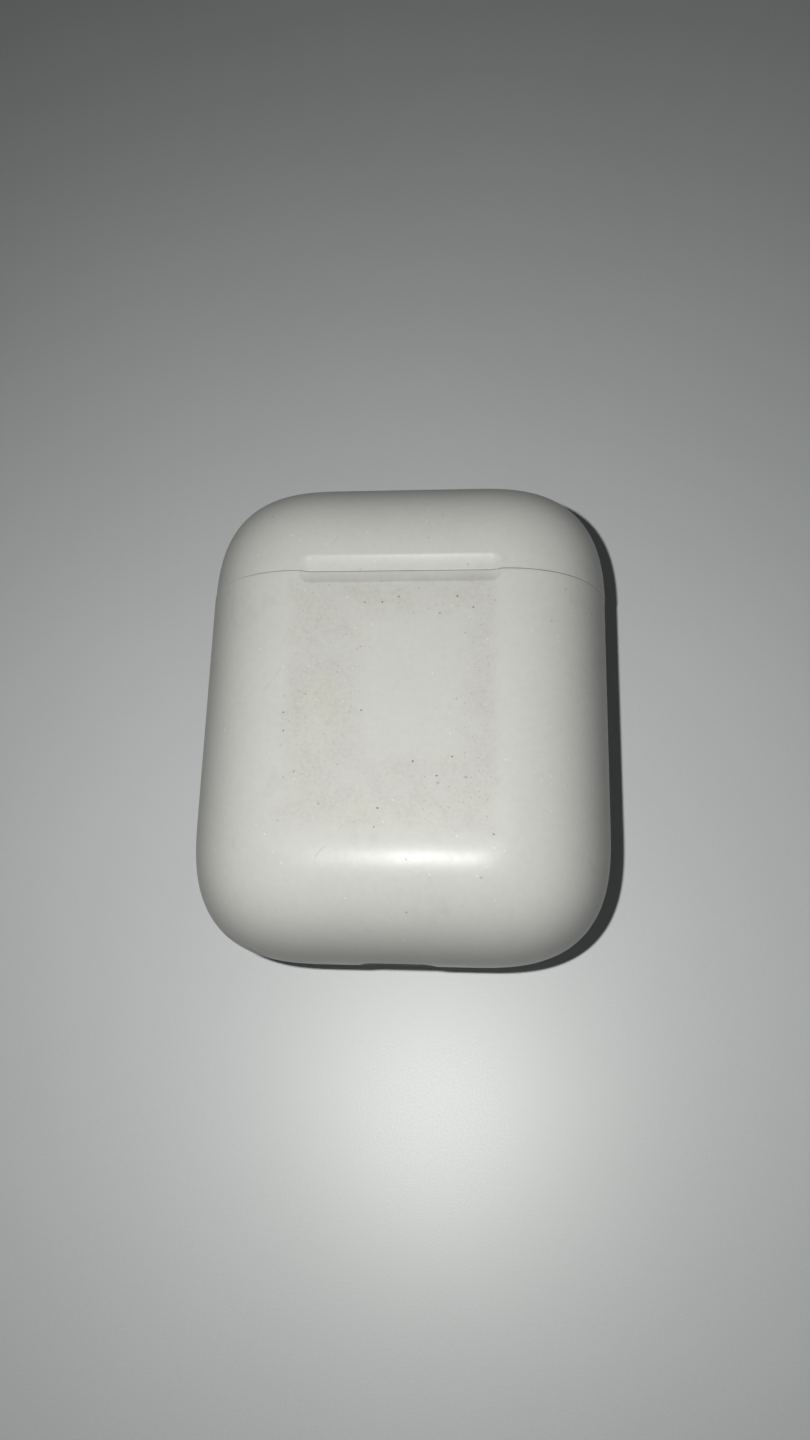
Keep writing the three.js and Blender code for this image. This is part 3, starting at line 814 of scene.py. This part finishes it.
def port_contacts():
    """A row of thin gold strips on the socket's lower wall."""
    floor = node_box("port_shell")[0][2] + SOCKET_WALL
    strips = []
    for place in np.arange(STRIP_COUNT) - (STRIP_COUNT - 1) / 2:
        x = place * STRIP_PITCH
        low = (x - STRIP_HALF_X, STRIP_START, floor + STRIP_LOW)
        high = (x + STRIP_HALF_X, STRIP_END, floor + STRIP_HIGH)
        strips.append(rounded_block("strip", low, high, STRIP_EDGE))
    return joined("port_contacts", strips)


def joined(name, pieces):
    """Several objects as one."""
    bm = bmesh.new()
    for piece in pieces:
        bm.from_mesh(piece.data)
        bpy.data.objects.remove(piece)
    return object_from(bm, name)


# ======== Materials ========


class Graph:
    """A material's node tree, with short calls for the nodes used here.

    The place it works on is in metres, so a scale of 1000 gives features a millimetre wide.
    """

    def __init__(self, name):
        self.material = bpy.data.materials.new(name)
        self.material.use_nodes = True
        self.tree = self.material.node_tree
        self.shader = self.tree.nodes["Principled BSDF"]
        where = self.tree.nodes.new("ShaderNodeTexCoord")
        self.place = where.outputs["Object"]
        self.facing = where.outputs["Normal"]

    def put(self, value, socket):
        """Links an output to a socket, or sets the socket to a plain value."""
        if isinstance(value, bpy.types.NodeSocket):
            self.tree.links.new(value, socket)
        elif value is not None:
            socket.default_value = value

    def math(self, operation, a, b=None, c=None, clamp=False):
        node = self.tree.nodes.new("ShaderNodeMath")
        node.operation = operation
        node.use_clamp = clamp
        for value, socket in zip((a, b, c), node.inputs):
            self.put(value, socket)
        return node.outputs[0]

    def step(self, value, low, high, to_low=0.0, to_high=1.0):
        """Smooth step of value from low to high."""
        node = self.tree.nodes.new("ShaderNodeMapRange")
        node.interpolation_type = "SMOOTHSTEP"
        for item, socket in zip((value, low, high, to_low, to_high), node.inputs):
            self.put(item, socket)
        return node.outputs[0]

    def stretched(self, scale, turn=(0, 0, 0)):
        """Object coordinates with a scale and a turn of their own."""
        node = self.tree.nodes.new("ShaderNodeMapping")
        self.put(self.place, node.inputs["Vector"])
        node.vector_type = "TEXTURE"
        node.inputs["Scale"].default_value = [1 / value for value in scale]
        node.inputs["Rotation"].default_value = turn
        return node.outputs[0]

    def noise(self, scale, detail=3.0, roughness=0.5, vector=None, distortion=0.0):
        node = self.tree.nodes.new("ShaderNodeTexNoise")
        self.put(vector or self.place, node.inputs["Vector"])
        node.inputs["Scale"].default_value = scale
        node.inputs["Detail"].default_value = detail
        node.inputs["Roughness"].default_value = roughness
        node.inputs["Distortion"].default_value = distortion
        return node.outputs[0]

    def cells(self, scale, vector=None, flat=False):
        """Voronoi cells: distance to the nearest point, and each cell's own random value."""
        node = self.tree.nodes.new("ShaderNodeTexVoronoi")
        node.voronoi_dimensions = "2D" if flat else "3D"
        self.put(vector or self.place, node.inputs["Vector"])
        node.inputs["Scale"].default_value = scale
        split = self.tree.nodes.new("ShaderNodeSeparateColor")
        self.put(node.outputs["Color"], split.inputs[0])
        return node.outputs["Distance"], split.outputs[0]

    def axes(self, vector=None):
        node = self.tree.nodes.new("ShaderNodeSeparateXYZ")
        self.put(vector or self.place, node.inputs[0])
        return node.outputs

    def mix(self, share, a, b):
        node = self.tree.nodes.new("ShaderNodeMix")
        node.data_type = "RGBA"
        self.put(share, node.inputs["Factor"])
        self.put(a, node.inputs["A"])
        self.put(b, node.inputs["B"])
        return node.outputs["Result"]

    def bump(self, height, distance, strength=1.0, below=None):
        """A normal bent by a height, on top of the normal below."""
        node = self.tree.nodes.new("ShaderNodeBump")
        node.inputs["Strength"].default_value = strength
        node.inputs["Distance"].default_value = distance
        self.put(height, node.inputs["Height"])
        if below is not None:
            self.put(below, node.inputs["Normal"])
        return node.outputs[0]

    def finish(self, colour, roughness, normal, **uniform):
        """Fills the shader's sockets and gives the material; uniform values are set by socket name."""
        self.put(colour, self.shader.inputs["Base Color"])
        self.put(roughness, self.shader.inputs["Roughness"])
        self.put(normal, self.shader.inputs["Normal"])
        for name, value in uniform.items():
            self.shader.inputs[name.replace("_", " ")].default_value = value
        return self.material


def rgb(r, g, b):
    return (r, g, b, 1.0)


def specks(g, scale, size, share, flat=False):
    """Sparse small dots: 1 inside a dot, 0 elsewhere; flat dots run straight through along Z."""
    wander = 0.7 * size
    ragged = g.math("MULTIPLY_ADD", g.noise(scale * 6, 2.0), 2 * wander, -wander)
    distance, chance = g.cells(scale, flat=flat)
    dot = g.step(g.math("ADD", distance, ragged), size, size * 0.4)
    return g.math("MULTIPLY", dot, g.math("LESS_THAN", chance, share))


def hairlines(g, angle, scale, thinness, threshold):
    """Sparse fine straight marks at an angle in the XY plane."""
    long_way = g.stretched((scale, scale * thinness, scale), (0, 0, angle))
    thin = g.step(g.noise(1.0, 1.0, 0.4, long_way), threshold, threshold + 0.03)
    return g.math("MULTIPLY", thin, g.step(g.noise(scale * 4, 1.0), 0.58, 0.68))


EDGE_WANDER = 1.5


def box_mask(g, centre, half, softness, wobble):
    """1 inside a rectangle of the XY plane, 0 outside, with an edge that wanders with the noise."""
    sides = []
    for value, middle, reach in zip(g.axes(), centre, half):
        away = g.math("ABSOLUTE", g.math("SUBTRACT", value, middle * MM))
        sides.append(g.math("SUBTRACT", away, reach * MM))
    outside = g.math("MULTIPLY_ADD", wobble, 2 * EDGE_WANDER * MM, g.math("MAXIMUM", *sides))
    return g.step(outside, (EDGE_WANDER + softness) * MM, (EDGE_WANDER - softness) * MM)


FRONT_START = 16 * MM    # heights over the table between which the front face begins
FRONT_FULL = 20 * MM


def front_soiling(g):
    """Where the front face is soiled: a worn frame round a cleaner middle."""
    wobble = g.noise(260, 2.0)
    frame_area = box_mask(g, (-0.6, -1.2), (10.6, 13.1), 0.9, wobble)
    middle = box_mask(g, (1.6, 0.7), (5.4, 7.6), 1.7, wobble)
    front = g.step(g.axes()[2], FRONT_START, FRONT_FULL)
    ring = g.math("SUBTRACT", 1.0, g.math("MULTIPLY", middle, 0.93))
    return g.math("MULTIPLY", g.math("MULTIPLY", frame_area, ring), front)


CLEAN = 0.54             # tone of the clean plastic
SHELL_LIGHT = rgb(CLEAN, CLEAN * 1.01, CLEAN * 0.965)
SHELL_CLOUD = rgb(CLEAN * 0.965, CLEAN * 0.975, CLEAN * 0.94)
GRIME_YELLOW = rgb(CLEAN * 0.85, CLEAN * 0.82, CLEAN * 0.69)
GRIME_GREY = rgb(CLEAN * 0.81, CLEAN * 0.795, CLEAN * 0.74)
SPECK = rgb(0.13, 0.115, 0.095)
SMUDGE = rgb(0.28, 0.275, 0.26)
LINT = rgb(0.9, 0.9, 0.88)
SEAM_DUST = rgb(0.26, 0.24, 0.20)
# Painted shade: the dark tone mixed into the sides where the lamp's light grazes them.
SIDE_SHADE_TONE = rgb(0.05, 0.05, 0.05)
SIDE_SHADE_SHARE = 0.34      # painted shade: how much darker the sides are drawn, as the lamp's light grazes them
SEAM_DUST_NEAR = 0.05 * MM
SEAM_DUST_FAR = 0.26 * MM


def handling_grime(g, soiling):
    """Grime over the soiled area, in patches a few millimetres wide with a fine grain."""
    patches = g.step(g.noise(330, 4.0, 0.65, distortion=0.5), 0.34, 0.66, 0.4, 1.0)
    fine = g.step(g.noise(2400, 3.0, 0.75), 0.38, 0.66, 0.35, 1.0)
    return g.math("MULTIPLY", soiling, g.math("MULTIPLY", patches, fine))


def stained_plastic(g, grime):
    """Faintly mottled plastic under yellow and grey grime."""
    clouds = g.math("MULTIPLY", g.noise(240, 4.0, 0.6), 0.6)
    mottle = g.math("MULTIPLY_ADD", g.noise(1500, 2.0), 0.9, clouds)
    clean = g.mix(g.step(mottle, 0.5, 1.0), SHELL_CLOUD, SHELL_LIGHT)
    soiled = g.mix(g.step(g.noise(190, 2.0), 0.45, 0.66), GRIME_GREY, GRIME_YELLOW)
    return g.mix(g.math("MULTIPLY", grime, 0.8), clean, soiled)


def dark_dots(g, soiling):
    """Dark specks in two sizes where the front is soiled, and a few fainter ones all over."""
    inside = g.step(soiling, 0.05, 0.6, 0.1, 1.0)
    large = g.math("MULTIPLY", specks(g, 520, 0.07, 0.27, flat=True), inside)
    small = g.math("MULTIPLY", specks(g, 1300, 0.11, 0.2, flat=True), inside)
    stray = g.math("MULTIPLY", specks(g, 700, 0.14, 0.14), 0.5)
    return g.math("MAXIMUM", g.math("MAXIMUM", large, g.math("MULTIPLY", small, 0.6)), stray)


def smudged(g, colour, marks):
    """Adds grey smudges, faint scratches and pale lint to a colour."""
    linty = g.mix(g.math("MULTIPLY", specks(g, 1100, 0.13, 0.2), 0.35), colour, LINT)
    smudges = g.step(g.noise(170, 3.0, 0.6, distortion=0.8), 0.60, 0.72, 0.0, 0.09)
    return g.mix(g.math("MAXIMUM", smudges, g.math("MULTIPLY", marks, 0.15)), linty, SMUDGE)


def seam_dusted(g, colour):
    """Adds the dust that has gathered along the seam."""
    from_seam = g.math("ABSOLUTE", g.math("SUBTRACT", g.axes()[1], SEAM_Y * MM))
    near = g.step(from_seam, SEAM_DUST_FAR, SEAM_DUST_NEAR)
    dust = g.math("MULTIPLY", near, g.step(g.noise(260, 2.0), 0.45, 0.75, 0.0, 0.3))
    return g.mix(dust, colour, SEAM_DUST)


def worn_relief(g, dots, marks):
    """Moulding ripple and grain, with the dots and marks sunk into them."""
    ripple = g.bump(g.noise(620, 3.0, 0.6), 0.000014, 0.6)
    grain = g.bump(g.noise(3800, 2.0), 0.000004, 0.35, ripple)
    return g.bump(g.math("MULTIPLY", g.math("MAXIMUM", dots, marks), -1.0), 0.000015, 0.5, grain)


def shell_material():
    """Worn white plastic: handling grime, specks, pits, hairline marks, a dusty seam, and painted shade on
    the sides.
    """
    g = Graph("shell_plastic")
    soiling = front_soiling(g)
    grime = handling_grime(g, soiling)
    dots = dark_dots(g, soiling)
    marks = g.math("MAXIMUM", hairlines(g, 0.9, 60, 30, 0.70), hairlines(g, -0.5, 50, 34, 0.71))
    faded = g.step(g.noise(300, 1.0), 0.3, 0.65, 0.2, 0.8)
    spotted = g.mix(g.math("MULTIPLY", dots, faded), stained_plastic(g, grime), SPECK)
    handled = seam_dusted(g, smudged(g, spotted, marks))
    # Painted shade: surfaces that face sideways rather than up or down are drawn darker.
    painted_side_shade = g.step(g.math("ABSOLUTE", g.axes(g.facing)[2]), 0.96, 0.3, 0.0, SIDE_SHADE_SHARE)
    colour = g.mix(painted_side_shade, handled, SIDE_SHADE_TONE)
    dull = g.math("MULTIPLY_ADD", grime, 0.12, 0.27)
    haze = g.math("MULTIPLY_ADD", g.noise(420, 4.0, 0.6), 0.10, dull)
    roughness = g.math("MULTIPLY_ADD", marks, 0.1, haze, clamp=True)
    return g.finish(colour, roughness, worn_relief(g, dots, marks), IOR=1.5, Specular_IOR_Level=0.2)


def liner_material():
    """Satin white moulding with faint flow marks and dust."""
    g = Graph("liner_plastic")
    flow = g.step(g.noise(120, 4.0, 0.6), 0.3, 0.7)
    colour = g.mix(flow, rgb(0.70, 0.705, 0.69), rgb(0.77, 0.775, 0.755))
    lint = specks(g, 900, 0.1, 0.12)
    dusty = g.mix(g.math("MULTIPLY", lint, 0.5), colour, rgb(0.36, 0.33, 0.28))
    roughness = g.math("MULTIPLY_ADD", g.noise(500, 3.0), 0.12, 0.30)
    normal = g.bump(g.noise(2600, 2.0), 0.000005, 0.4)
    return g.finish(dusty, roughness, normal, IOR=1.5)


def metal_material(name, light, dark, roughness, scale=(40, 2600, 2600)):
    """Metal with tarnish and fine lines, which run along X unless the scale is even."""
    g = Graph(name)
    lines = g.noise(1.0, 2.0, 0.6, g.stretched(scale))
    tarnish = g.step(g.noise(600, 3.0), 0.4, 0.75)
    colour = g.mix(g.math("MULTIPLY", tarnish, 0.5), light, dark)
    rough = g.math("MULTIPLY_ADD", lines, 0.16, roughness)
    normal = g.bump(lines, 0.000006, 0.5)
    return g.finish(colour, rough, normal, Metallic=1.0)


def moulded_material(name, light, dark, roughness, scale=900):
    """A small moulded or coated part with mottled colour and grain."""
    g = Graph(name)
    mottle = g.step(g.noise(scale, 3.0, 0.6), 0.3, 0.7)
    rough = g.math("MULTIPLY_ADD", mottle, 0.15, roughness)
    normal = g.bump(g.noise(scale * 4, 2.0), 0.000008, 0.4)
    return g.finish(g.mix(mottle, dark, light), rough, normal)


def board_material():
    """Solder mask with copper tracks showing through as lighter lines."""
    g = Graph("circuit_board")
    distance = g.cells(900, g.stretched((1, 1, 0.01)))[0]
    tracks = g.step(g.math("PINGPONG", g.math("MULTIPLY", distance, 3.0), 0.5), 0.38, 0.46)
    base = g.mix(g.noise(700, 2.0), rgb(0.012, 0.05, 0.026), rgb(0.02, 0.075, 0.04))
    colour = g.mix(g.math("MULTIPLY", tracks, 0.6), base, rgb(0.05, 0.16, 0.08))
    normal = g.bump(tracks, 0.00002, 0.5)
    return g.finish(colour, 0.38, normal)


FLOOR_TINT = (0.97, 1.01, 1.015)
FLOOR_LEAN = 0.112       # slope of the table's sheen, which peaks below the case


def floor_material():
    """Plain pale table top with a fine grain."""
    g = Graph("table")
    grain = g.noise(4200, 3.0, 0.75)
    clouds = g.noise(28, 3.0, 0.5)
    tone = g.math("MULTIPLY_ADD", grain, 0.10, g.math("MULTIPLY_ADD", clouds, 0.05, 0.52))
    shade = g.tree.nodes.new("ShaderNodeCombineColor")
    for tint, socket in zip(FLOOR_TINT, shade.inputs):
        g.put(g.math("MULTIPLY", tone, tint), socket)
    roughness = g.math("MULTIPLY_ADD", grain, 0.12, 0.36)
    lean = g.bump(g.axes()[1], -FLOOR_LEAN)
    normal = g.bump(grain, 0.00004, 0.2, lean)
    return g.finish(shade.outputs[0], roughness, normal, Specular_IOR_Level=0.65)


METALS = {
    "hinge_steel": (rgb(0.80, 0.80, 0.79), rgb(0.55, 0.54, 0.52), 0.28),
    "spring_steel": (rgb(0.45, 0.46, 0.47), rgb(0.28, 0.28, 0.28), 0.30),
    "magnet": (rgb(0.52, 0.53, 0.55), rgb(0.36, 0.36, 0.37), 0.22, (900, 900, 900)),
    "contact_gold": (rgb(0.83, 0.60, 0.27), rgb(0.52, 0.36, 0.16), 0.2),
}
MOULDED = {
    "insulator": (rgb(0.03, 0.03, 0.03), rgb(0.012, 0.012, 0.012), 0.5),
    "chip": (rgb(0.03, 0.03, 0.032), rgb(0.014, 0.014, 0.015), 0.45),
    "cell_wrap": (rgb(0.08, 0.08, 0.09), rgb(0.045, 0.045, 0.05), 0.32, 300),
    "foam": (rgb(0.07, 0.07, 0.07), rgb(0.03, 0.03, 0.03), 0.9, 2400),
    "flex_film": (rgb(0.36, 0.17, 0.04), rgb(0.22, 0.09, 0.02), 0.35, 700),
    "light_lens": (rgb(0.88, 0.88, 0.85), rgb(0.78, 0.78, 0.75), 0.18, 500),
}


def material_library():
    """Every material of the case, by its slot."""
    library = {"shell": shell_material(), "liner": liner_material(), "circuit_board": board_material()}
    for slot, look in METALS.items():
        library[slot] = metal_material(slot, *look)
    for slot, look in MOULDED.items():
        library[slot] = moulded_material(slot, *look)
    return library


# ======== Putting the pieces on the frame ========

MATERIALS = material_library()
BEVEL_WIDTH = 0.04 * MM
BEVEL_ANGLE = math.radians(50)


def place(piece, body, slot, *nodes):
    """Gives a piece its material and body, and says which CAD nodes it stands for."""
    piece.data.materials.clear()
    piece.data.materials.append(MATERIALS[slot])
    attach(piece, body)
    if nodes:
        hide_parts(*nodes)
    return piece


def dress_cad_nodes():
    """Gives each CAD node that stays its slot's material and softened edges."""
    for row in frame["record"]["subparts"]:
        node = frame["nodes"][row["node"]]
        if node.hide_render:
            continue
        node.data.materials.clear()
        node.data.materials.append(MATERIALS[row["material_slot"]])
        bevel = node.modifiers.new("edges", "BEVEL")
        bevel.width = BEVEL_WIDTH
        bevel.segments = 2
        bevel.angle_limit = BEVEL_ANGLE


def build_hinge():
    """The base's knuckles lie on both sides of the lid's one."""
    base_end = node_box("hinge_bracket")[1][0]
    base_start = LID_KNUCKLE + KNUCKLE_GAP
    base_spans = [(-base_end, -base_start), (base_start, base_end)]
    lid_spans = [(-LID_KNUCKLE, LID_KNUCKLE)]
    base_half = hinge_half("hinge_base_half", "hinge_bracket", base_spans, "base_hinge_screw")
    place(base_half, "base", "hinge_steel", "hinge_bracket")
    lid_half = hinge_half("hinge_lid_half", "hinge_leaf", lid_spans, "lid_hinge_screw")
    place(lid_half, "lid", "hinge_steel", "hinge_leaf")
    place(hinge_pin(), "base", "hinge_steel", "hinge_pin")


def build_port():
    ring = slot_tube("port_ring", "port_trim", PORT_RING_FILLET, PORT_RING_SETBACK)
    place(ring, "base", "hinge_steel", "port_trim")
    can = slot_tube("port_can", "port_shell", PORT_CAN_FILLET)
    place(can, "base", "spring_steel", "port_shell")
    place(port_contacts(), "base", "contact_gold")


def build_pieces():
    """Makes each fine piece in place of its CAD node, and dresses the nodes that stay."""
    place(base_shell(), "base", "shell", "base_shell")
    place(lid_shell(), "lid", "shell", "lid_shell")
    place(setup_button(), "button", "shell", "setup_button")
    place(well_tray(), "base", "liner", "well_tray")
    place(lid_liner(), "lid", "liner", "lid_liner")
    build_hinge()
    build_port()
    dress_cad_nodes()


# ======== Stage ========

CAMERA_PLACE = Vector((10.62, -31.40, 121.02)) * MM
CAMERA_PITCH, CAMERA_YAW, CAMERA_ROLL = 0.2748, 0.0959, 0.0277
CAMERA_LENS = 25.92
KEY_PLACE = Vector((-3.5, -25.0, 124.0)) * MM
KEY_SIZE = 3 * MM
KEY_POWER = 0.123
KEY_COLOUR = (1.0, 0.99, 0.965)
SKY = 0.055
SKY_COLOUR = (0.95, 1.0, 1.0, 1.0)
FLOOR_SIZE = 1.6
TIP_PIVOT = -17.7        # where along Y the case rolls on its bottom end when it tips back
TIP_ANGLE = 20.4         # how far it has tipped, in degrees, with the lid fully open
LID_TRAVEL = 100         # the lid's full opening, in degrees


def make_camera():
    """The camera, a hand's breadth above the case and a little past its bottom end."""
    data = bpy.data.cameras.new("camera")
    data.lens = CAMERA_LENS
    data.clip_start = 1 * MM
    camera = link(bpy.data.objects.new("camera", data))
    turn = Matrix.Rotation(CAMERA_YAW, 4, "Y") @ Matrix.Rotation(CAMERA_PITCH, 4, "X")
    turn = turn @ Matrix.Rotation(CAMERA_ROLL, 4, "Z")
    camera.matrix_world = Matrix.Translation(CAMERA_PLACE) @ turn
    bpy.context.scene.camera = camera


def make_key():
    """One small key lamp beside the camera, turned to the middle of the case."""
    data = bpy.data.lights.new("key", "AREA")
    data.shape = "DISK"
    data.size = KEY_SIZE
    data.energy = KEY_POWER
    data.color = KEY_COLOUR
    lamp = link(bpy.data.objects.new("key", data))
    lamp.location = KEY_PLACE
    lamp.rotation_euler = (-KEY_PLACE).to_track_quat("-Z", "Y").to_euler()


def make_surround():
    """An even, dim light from all around."""
    world = bpy.data.worlds.new("surround")
    world.use_nodes = True
    background = world.node_tree.nodes["Background"]
    background.inputs["Color"].default_value = SKY_COLOUR
    background.inputs["Strength"].default_value = SKY
    bpy.context.scene.world = world


def make_floor():
    """The table top. It tips with the opening lid, which props the lying case up from behind."""
    mesh = bpy.data.meshes.new("floor")
    half = FLOOR_SIZE / 2
    corners = [(-half, -half, 0), (half, -half, 0), (half, half, 0), (-half, half, 0)]
    mesh.from_pydata(corners, [], [(0, 1, 2, 3)])
    mesh.materials.append(floor_material())
    floor = link(bpy.data.objects.new("floor", mesh))
    floor.location.y = TIP_PIVOT * MM
    tip = floor.constraints.new("TRANSFORM")
    tip.target = bpy.data.objects["lid_casing"]
    tip.map_from = "ROTATION"
    tip.map_to = "ROTATION"
    tip.from_min_x_rot = math.radians(-LID_TRAVEL)
    tip.to_min_x_rot = math.radians(-TIP_ANGLE)


build_pieces()
make_camera()
make_key()
make_surround()
make_floor()
bpy.context.scene.view_settings.view_transform = "Standard"
